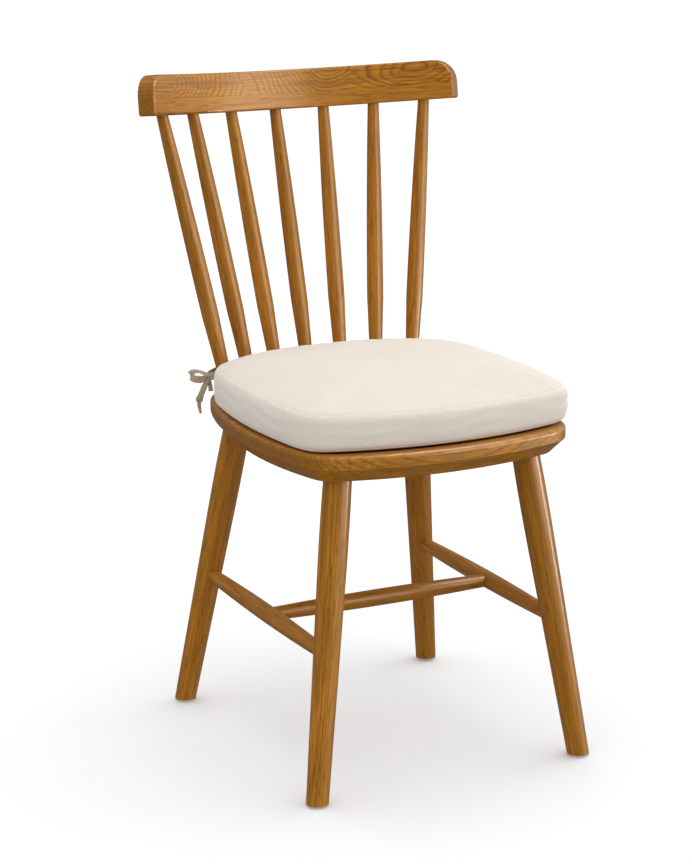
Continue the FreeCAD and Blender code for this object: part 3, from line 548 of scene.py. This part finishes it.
def sewn_cushion():
    """A boxed cushion. The top panel rises from its seam as crown * (1 - (1 - d / reach) ** 5), where d is
    the distance to the seam. The band swells between its seams as swell * (1 - (2 t - 1) ** 4), and the
    bottom panel falls from its seam to flat within a few millimetres. Returns the piece, the vertices that
    stay where they are under pressure, and the upper and the lower seam."""
    outline = seam_outline()
    plan = panel_between(outline, PANEL_CELLS + 1)
    inward = distance_to(outline[::3], plan)
    inward[[0, -1]] = 0
    inward[:, [0, -1]] = 0
    rise = CROWN * (1 - (1 - np.minimum(inward / CROWN_REACH, 1)) ** 5)
    lift = fullness(plan, outline)
    top = np.dstack([plan, UPPER_SEAM + rise + lift])
    bottom = np.dstack([plan, LOWER_SEAM - (UNDER_RISE - SEAT_GAP) * (1 - np.exp(-inward / UNDER_TUCK))])
    edge = rim(plan)
    along = np.roll(edge, -1, 0) - np.roll(edge, 1, 0)
    outward = unit(np.column_stack([along[:, 1], -along[:, 0]]))
    share = (1 - np.cos(np.linspace(0, math.pi, BAND_ROWS + 1)[1:-1])) / 2
    swell = BAND_SWELL * (1 - (2 * share - 1) ** 4)
    height = LOWER_SEAM + share[:, None] * (BAND_HEIGHT + rim(lift))
    band = np.concatenate([edge + swell[:, None, None] * outward, height[..., None]], -1)
    points = np.concatenate([top.reshape(-1, 3), bottom.reshape(-1, 3), band.reshape(-1, 3)])

    panel = np.arange(plan.shape[0] * plan.shape[1]).reshape(plan.shape[:2])
    between = np.arange(2 * panel.size, len(points)).reshape(len(share), len(edge))
    wall = np.vstack([rim(panel) + panel.size, between, rim(panel)])
    wall = np.hstack([wall, wall[:, :1]])
    far = np.concatenate([[0], np.cumsum(np.linalg.norm(np.roll(edge, -1, 0) - edge, axis=1))])
    up = np.concatenate([[0], share, [1]]) * BAND_HEIGHT
    wall_places = np.stack(np.broadcast_arrays(far[None], up[:, None]), -1)
    faces = np.concatenate([quads(panel), quads(panel + panel.size)[:, ::-1], quads(wall)[:, ::-1]])
    places = np.concatenate([quads(plan), quads(plan)[:, ::-1], quads(wall_places)[:, ::-1]])
    made = surface_piece("seat_cushion", points, faces, places, cover_cloth)
    held = np.concatenate([rim(panel), np.arange(panel.size, 2 * panel.size)])
    levels = [UPPER_SEAM + rim(lift), np.full(len(edge), LOWER_SEAM)]
    seams = [np.column_stack([edge, level]) for level in levels]
    return made, held, seams


def apply_modifiers(thing):
    """Puts the result of a piece's modifiers into its mesh."""
    graph = bpy.context.evaluated_depsgraph_get()
    graph.update()
    mesh = bpy.data.meshes.new_from_object(thing.evaluated_get(graph))
    thing.modifiers.clear()
    thing.data = mesh


def puff(piece, held):
    """The cover under pressure for a moment: panel and band swell, while the seams and bottom are held.
    No point moves further than the cap."""
    rest = vertices_of(piece.data)
    group = piece.vertex_groups.new(name="held")
    group.add(held.tolist(), 1.0, "REPLACE")
    cloth = piece.modifiers.new("cloth", "CLOTH")
    settings = cloth.settings
    for setting, value in COTTON.items():
        setattr(settings, setting, value)
    settings.effector_weights.gravity = 0.0
    cloth.point_cache.frame_start = 1
    cloth.point_cache.frame_end = SIM_FRAMES
    for moment in range(1, SIM_FRAMES + 1):
        bpy.context.scene.frame_set(moment)
    apply_modifiers(piece)
    moved = vertices_of(piece.data) - rest
    far = np.linalg.norm(moved, axis=1, keepdims=True)
    rest += moved * np.minimum(1, SIM_CAP / np.maximum(far, 1e-9))
    piece.data.vertices.foreach_set("co", rest.astype(np.float32).ravel())
    piece.vertex_groups.clear()
    bpy.context.scene.frame_set(1)


SEAM_DEPTH = 1.6 * MM
SEAM_WIDTH = 2.4 * MM
SEAM_RADIUS = 0.8 * MM
GATHER_DEPTH = 0.16 * MM
GATHER_REACH = 8 * MM
FOLD_DEPTH = 0.35 * MM
FOLD_MARGIN = 8 * MM
MEAN_REACH = 0.2


def crease(piece, upper_seam, lower_seam):
    """Pulls the cover in along both seams by depth * exp(-(d / width) ** 2), gathers it beside the upper
    seam in small puckers, and lets the band roll in faint level folds."""
    divide = piece.modifiers.new("divide", "SUBSURF")
    divide.levels = 1
    divide.render_levels = 1
    apply_modifiers(piece)
    points = vertices_of(piece.data)
    normals = np.empty(len(points) * 3, np.float32)
    piece.data.vertices.foreach_get("normal", normals)
    normals = normals.reshape(-1, 3)
    middle = points[:, :2].mean(0)
    around = np.arctan2(points[:, 1] - middle[1], points[:, 0] - middle[0]) * MEAN_REACH
    upper, lower = [distance_to(spaced(ring, 900), points) for ring in (upper_seam, lower_seam)]
    move = -SEAM_DEPTH * sum(np.exp(-(apart / SEAM_WIDTH) ** 2) for apart in (upper, lower))
    gather = (np.sin(around / (2.9 * MM)) + 0.8 * np.sin(around / (1.7 * MM) + 1.3)
              + 0.9 * np.sin(around / (5.3 * MM) + 0.4))
    move += GATHER_DEPTH * gather * np.exp(-(upper / GATHER_REACH) ** 2)
    height = points[:, 2] - LOWER_SEAM
    on_band = np.clip(height / FOLD_MARGIN, 0, 1) * np.clip((BAND_HEIGHT - height) / FOLD_MARGIN, 0, 1)
    slow = np.sin(around / (31 * MM)) + 0.7 * np.sin(around / (17 * MM) + 2.0)
    folds = np.sin(height / (2.6 * MM) + 1.2 * slow) * (0.6 + 0.4 * np.sin(around / (23 * MM) + 1.0))
    move += FOLD_DEPTH * folds * on_band
    points += normals * move[:, None]
    piece.data.vertices.foreach_set("co", points.astype(np.float32).ravel())
    piece.data.update()


def surface_of(piece):
    """A piece's surface for finding its nearest points."""
    faces = [tuple(face.vertices) for face in piece.data.polygons]
    return BVHTree.FromPolygons(vertices_of(piece.data).tolist(), faces)


def seam_line(name, ring, piece):
    """The folded edges of the cloth that show along a seam: a thin tube on the nearest points of the cover to
    a ring, in a cloth paler than the cover's, which is a painted highlight along the seam. Each of its
    sections is a circle across the ring."""
    surface = surface_of(piece)
    even = spaced(np.vstack([ring, ring[:1]]), 801)[:-1]
    found = [surface.find_nearest(Vector(point))[:2] for point in even]
    path, outward = [np.array(column) for column in zip(*found)]
    for _ in range(4):
        path = (np.roll(path, 1, 0) + path + np.roll(path, -1, 0)) / 3
        outward = (np.roll(outward, 1, 0) + outward + np.roll(outward, -1, 0)) / 3
    forward = unit(np.roll(path, -1, 0) - np.roll(path, 1, 0))
    outward = unit(outward - (outward * forward).sum(1, keepdims=True) * forward)
    side = np.cross(forward, outward)
    turn = np.linspace(0, 2 * math.pi, 8, endpoint=False)[None, :, None]
    tube = path[:, None] + SEAM_RADIUS * (np.cos(turn) * outward[:, None] + np.sin(turn) * side[:, None])
    far = np.concatenate([[0], np.cumsum(np.linalg.norm(path - np.roll(path, -1, 0), axis=1))])
    round_it = np.linspace(0, 2 * math.pi * SEAM_RADIUS, 9)
    places = np.stack(np.broadcast_arrays(far[:, None], round_it[None]), -1)
    return grid_piece(name, tube, places, seam_cloth_painted_highlight, close_u=True, close_v=True)


cushion, held_points, seam_rings = sewn_cushion()
puff(cushion, held_points)
crease(cushion, *seam_rings)
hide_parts("cushion_cover", "cushion_foam")
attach(cushion, "cushion")
for name, ring in zip(("top_seam", "bottom_seam"), seam_rings):
    seam = seam_line(name, ring, cushion)
    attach(seam, "cushion")


# Ties

TAPE_WIDTH = 10.0 * MM
TAPE_THICKNESS = 1.4 * MM
TIE_HEIGHT = 26 * MM
KNOT_OUT = 25 * MM
KNOT_RADII = (5.2 * MM, 4.8 * MM, 4.8 * MM)
TURN_RADIUS = 11.2 * MM


def curve_through(points, count):
    """A smooth curve through points: on each stretch it is the cubic whose end slopes are half the chord
    between the neighbours. Returns evenly spaced points and the length."""
    points = np.array(points, float)
    slopes = np.gradient(points, axis=0)
    fine = []
    for index in range(len(points) - 1):
        t = np.linspace(0, 1, 40, endpoint=index == len(points) - 2)[:, None]
        fine.append((2 * t**3 - 3 * t**2 + 1) * points[index] + (t**3 - 2 * t**2 + t) * slopes[index]
                    + (-2 * t**3 + 3 * t**2) * points[index + 1] + (t**3 - t**2) * slopes[index + 1])
    fine = np.vstack(fine)
    return spaced(fine, count), np.linalg.norm(np.diff(fine, axis=0), axis=1).sum()


def tape(name, points, across, widths=(TAPE_WIDTH,), count=60):
    """A flat folded tape along a curve. Its section is an oval with full corners: width / 2 * |cos| ** 0.5
    across and thickness / 2 * |sin| ** 0.7 through. Across and widths are spread along the curve."""
    path, length = curve_through(points, count)
    share = np.linspace(0, 1, count)
    across = np.array(across, float).reshape(-1, 3)
    across = np.stack([np.interp(share, np.linspace(0, 1, len(across)), column) for column in across.T], -1)
    half = np.interp(share, np.linspace(0, 1, len(widths)), widths)[:, None, None] / 2
    forward = unit(np.gradient(path, axis=0))
    across = unit(across - (across * forward).sum(1, keepdims=True) * forward)
    through = np.cross(forward, across)
    turn = np.linspace(0, 2 * math.pi, 16, endpoint=False)
    bar_across = (np.sign(np.cos(turn)) * np.abs(np.cos(turn)) ** 0.5)[None, :, None]
    bar_through = (np.sign(np.sin(turn)) * np.abs(np.sin(turn)) ** 0.7)[None, :, None]
    grid = (path[:, None] + half * bar_across * across[:, None]
            + TAPE_THICKNESS / 2 * bar_through * through[:, None])
    grid = np.concatenate([np.repeat(path[:1, None], 16, 1), grid, np.repeat(path[-1:, None], 16, 1)])
    far = np.concatenate([[0], share * length, [length]])
    places = np.stack(np.broadcast_arrays(far[:, None], np.linspace(0, 2 * TAPE_WIDTH, 17)[None]), -1)
    return grid_piece(name, grid, places, tape_cloth, close_v=True), length


def knot(name, centre, radii):
    """A knot: a ball whose radius swells as 1 + 0.1 cos 3a cos 2b + 0.06 sin(4a + b) over its two angles,
    like tape drawn over itself."""
    a = np.linspace(0, math.pi, 22)[:, None]
    b = np.linspace(0, 2 * math.pi, 24, endpoint=False)[None]
    swell = 1 + 0.1 * np.cos(3 * a) * np.cos(2 * b) * np.sin(a) + 0.06 * np.sin(4 * a + b) * np.sin(a)
    ball = np.stack(np.broadcast_arrays(np.sin(a) * np.cos(b), np.sin(a) * np.sin(b), np.cos(a)), -1)
    grid = centre + ball * swell[..., None] * np.array(radii)
    round_it = np.linspace(0, 2 * math.pi * radii[0], 25)
    places = np.stack(np.broadcast_arrays(a * radii[0], round_it[None]), -1)
    return grid_piece(name, grid, places, tape_cloth, close_v=True)


def tie(side, spindle):
    """One tie: tape from the cushion's rear corner, a turn round the spindle, a knot beside it, a bow of
    two loops, and two tails. The longer tail is folded back on itself near its end, and narrow below."""
    mirror = np.array([-1.0 if side == "right" else 1.0, 1.0, 1.0])
    middle, up = axis_of(spindle)
    seat_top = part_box("seat")[1].z
    centre = (middle + up * ((seat_top + TIE_HEIGHT - middle[2]) / up[2])) * mirror
    up = up * mirror
    out, front, rise = np.array([-1.0, 0.0, 0.0]), np.array([0.0, -1.0, 0.0]), np.array([0.0, 0.0, 1.0])
    heart = centre + out * KNOT_OUT

    def spots(*places):
        return [heart + (out * x + front * y + rise * z) * MM for x, y, z in places]

    sideways = unit(np.cross(up, out))
    beside = np.cross(sideways, up)
    turns = np.radians([90, 135, 180, 225, 270])
    around = [centre + TURN_RADIUS * (np.cos(t) * beside + np.sin(t) * sideways) for t in turns]
    corner = np.array(surface_of(cushion).find_nearest(Vector(centre * mirror))[0]) * mirror
    near_corner = centre + unit(corner - centre) * TURN_RADIUS
    pieces = {
        "turn": (spots((2, 1, 0)) + around + spots((2, -1, 0)), [up], [TAPE_WIDTH]),
        "front_loop": (spots((0, 1, 0), (7, 7, -0.5), (15, 8, -1), (21.5, 3, 0), (22.5, -5, 3),
                             (15, -12, 6), (6, -9, 5), (0, -1, 2)),
                       [(0.1, 0, 1), (0.1, 0, 1), (0.1, 0.1, 1), (0.1, 0.6, 0.8), (0, 1, 0.4), (0, 1, 0.3),
                        (0, 1, 0.5)], [6.5 * MM, TAPE_WIDTH, TAPE_WIDTH, 9 * MM, 6.5 * MM]),
        "rear_loop": (spots((0, 0, 0), (-7, -11, 0), (-17, -23, -1), (-29, -27, 0), (-34, -22, 2),
                            (-21, -16, 3), (-5, -7, 2), (0, 0, 1)),
                      [(0.1, 0.2, 1)], [6 * MM, TAPE_WIDTH, TAPE_WIDTH, 6 * MM]),
        "long_tail": (spots((0, 2, -1), (4, 4, -8), (9, 5, -17), (13.5, 6, -26), (15, 6, -31)),
                      [(0.8, -0.5, 0.3), (0.9, -0.4, 0.2)], [5.5 * MM, 8 * MM, 8 * MM, 9 * MM]),
        "tail_fold": (spots((15.2, 7.6, -30.5), (16, 7.8, -28), (15, 7.8, -25.5)),
                      [(0.9, -0.4, 0.2)], [9 * MM, 8.5 * MM]),
        "tail_tip": (spots((14.8, 6, -29), (15, 5.6, -37), (13.5, 5, -45), (12.5, 5, -48.5)),
                     [(0.85, -0.5, 0.1)], [6 * MM, 5 * MM, 3.5 * MM]),
        "short_tail": (spots((-1, 1, -1), (-2, 3, -8), (-3, 3, -15), (-3.5, 3, -20)),
                       [(0.8, -0.6, 0)], [5 * MM, 6.5 * MM]),
        "anchor": ([corner, (corner + near_corner) / 2, near_corner], [up], [TAPE_WIDTH]),
    }
    strips, total = [], 0.0
    for name, (points, across, widths) in pieces.items():
        piece, length = tape(f"{side}_{name}", np.array(points) * mirror, np.array(across) * mirror,
                             widths)
        strips.append(piece)
        total += length
    strips.append(knot(f"{side}_knot", heart * mirror, KNOT_RADII))
    bow = join_pieces(f"{side}_tie_bow", strips)
    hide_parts(f"{side}_tie")
    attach(bow, "cushion")
    return bow


tie("left", "spindle_1")
tie("right", "spindle_7")


# Floor, light and camera

FLOOR_REACH = 30.0


def studio_floor():
    """A plain pale floor, matt, with a faint mottle. It throws no light back on the chair, as in the photo,
    where the undersides are dark, and doesn't show in the lacquer."""
    material, tree, shader = new_material("matt_pale_floor")
    place = add(tree, "TexCoord").outputs["Object"]
    mottle = add(tree, "TexNoise", {"Vector": place, "Scale": 3.0, "Detail": 3.0})
    tone = add(tree, "ValToRGB", {"Fac": mottle.outputs["Fac"]},
               stops=[(0.3, linear("F8FAFC")), (0.7, linear("FAFCFE"))])
    tree.links.new(tone.outputs["Color"], shader.inputs["Base Color"])
    shader.inputs["Roughness"].default_value = 0.9
    shader.inputs["Specular IOR Level"].default_value = 0.1
    side = np.linspace(-FLOOR_REACH, FLOOR_REACH, 5)
    plan = np.stack(np.meshgrid(side, side, indexing="ij"), -1)
    floor = grid_piece("studio_floor", np.dstack([plan, np.zeros(plan.shape[:2])]), plan, material)
    floor.visible_diffuse = False
    floor.visible_glossy = False


def soft_light(name, place, target, width, height, watts, gloss_only=False):
    """A rectangular softbox aimed at a point. One for gloss alone draws streaks and lights nothing else."""
    data = bpy.data.lights.new(name, "AREA")
    data.shape = "RECTANGLE"
    data.size = width
    data.size_y = height
    data.energy = watts
    light = bpy.data.objects.new(name, data)
    light.location = place
    light.rotation_euler = (Vector(target) - Vector(place)).to_track_quat("-Z", "Y").to_euler()
    light.visible_diffuse = not gloss_only
    bpy.context.scene.collection.objects.link(light)


CAMERA_PLACE = (-1.45482, -2.86880, 1.22746)
CAMERA_AZIMUTH = math.radians(-26.583)
CAMERA_ELEVATION = math.radians(14.399)
FOCAL_PIXELS = 2475.07
PHOTO_HEIGHT = 864


def photo_camera():
    """The camera that took the photo. The sensor's 36 mm is the picture's long side."""
    data = bpy.data.cameras.new("photo_camera")
    data.sensor_width = 36.0
    data.lens = FOCAL_PIXELS / PHOTO_HEIGHT * data.sensor_width
    data.clip_end = 100.0
    camera = bpy.data.objects.new("photo_camera", data)
    back = Vector((math.sin(CAMERA_AZIMUTH) * math.cos(CAMERA_ELEVATION),
                   -math.cos(CAMERA_AZIMUTH) * math.cos(CAMERA_ELEVATION), math.sin(CAMERA_ELEVATION)))
    camera.location = CAMERA_PLACE
    camera.rotation_euler = (-back).to_track_quat("-Z", "Y").to_euler()
    bpy.context.scene.collection.objects.link(camera)
    bpy.context.scene.camera = camera


WINDOW_SIDE = (0.93, 0.37, 0.0)
WINDOW_LEAN = 0.18


def studio_world(low, high, gloss):
    """A pale room: its light grows from low underfoot to high overhead and leans to the window side, and
    its own reflections are held down so that the softboxes alone make the streaks on the lacquer. The
    backdrop itself looks white."""
    world = bpy.data.worlds.new("studio_world")
    bpy.context.scene.world = world
    world.use_nodes = True
    tree = world.node_tree
    way = add(tree, "TexCoord").outputs["Generated"]
    upward = add(tree, "SeparateXYZ", {0: way}).outputs["Z"]
    height = add(tree, "MapRange", {"Value": upward, "From Min": -1.0, "To Min": low, "To Max": high})
    sideways = add(tree, "VectorMath", {0: way, 1: WINDOW_SIDE}, operation="DOT_PRODUCT")
    leaning = add(tree, "MapRange", {"Value": sideways.outputs["Value"], "From Min": -1.0,
                                     "To Min": 1 - WINDOW_LEAN, "To Max": 1 + WINDOW_LEAN})
    level = add(tree, "Math", {0: height.outputs[0], 1: leaning.outputs[0]}, operation="MULTIPLY")
    ray = add(tree, "LightPath")
    dull = add(tree, "MapRange", {"Value": ray.outputs["Is Glossy Ray"], "To Min": 1.0, "To Max": gloss})
    lit = add(tree, "Math", {0: level.outputs[0], 1: dull.outputs[0]}, operation="MULTIPLY")
    seen = add(tree, "Mix", {"Factor": ray.outputs["Is Camera Ray"], "A": lit.outputs[0], "B": 1.0})
    backdrop = tree.nodes["Background"]
    backdrop.inputs["Color"].default_value = linear("FFFFFF")
    tree.links.new(seen.outputs["Result"], backdrop.inputs["Strength"])


studio_floor()
photo_camera()
studio_world(0.35, 1.27, 0.2)
soft_light("fill_softbox", (2.9, 0.3, 1.2), (0, 0, 0.55), 2.0, 2.0, 14)
soft_light("wide_softbox", (1.62, -2.26, 1.1), (0, 0, 0.55), 2.2, 2.0, 58, gloss_only=True)
soft_light("strip_softbox", (2.48, -1.32, 0.3), (0, 0, 0.45), 0.4, 0.7, 30, gloss_only=True)
soft_light("top_softbox", (1.3, -0.7, 3.1), (0, 0, 0.55), 1.5, 1.5, 90, gloss_only=True)
# The photo's white and its contrast are those of a plain display curve
bpy.context.scene.view_settings.view_transform = "Standard"
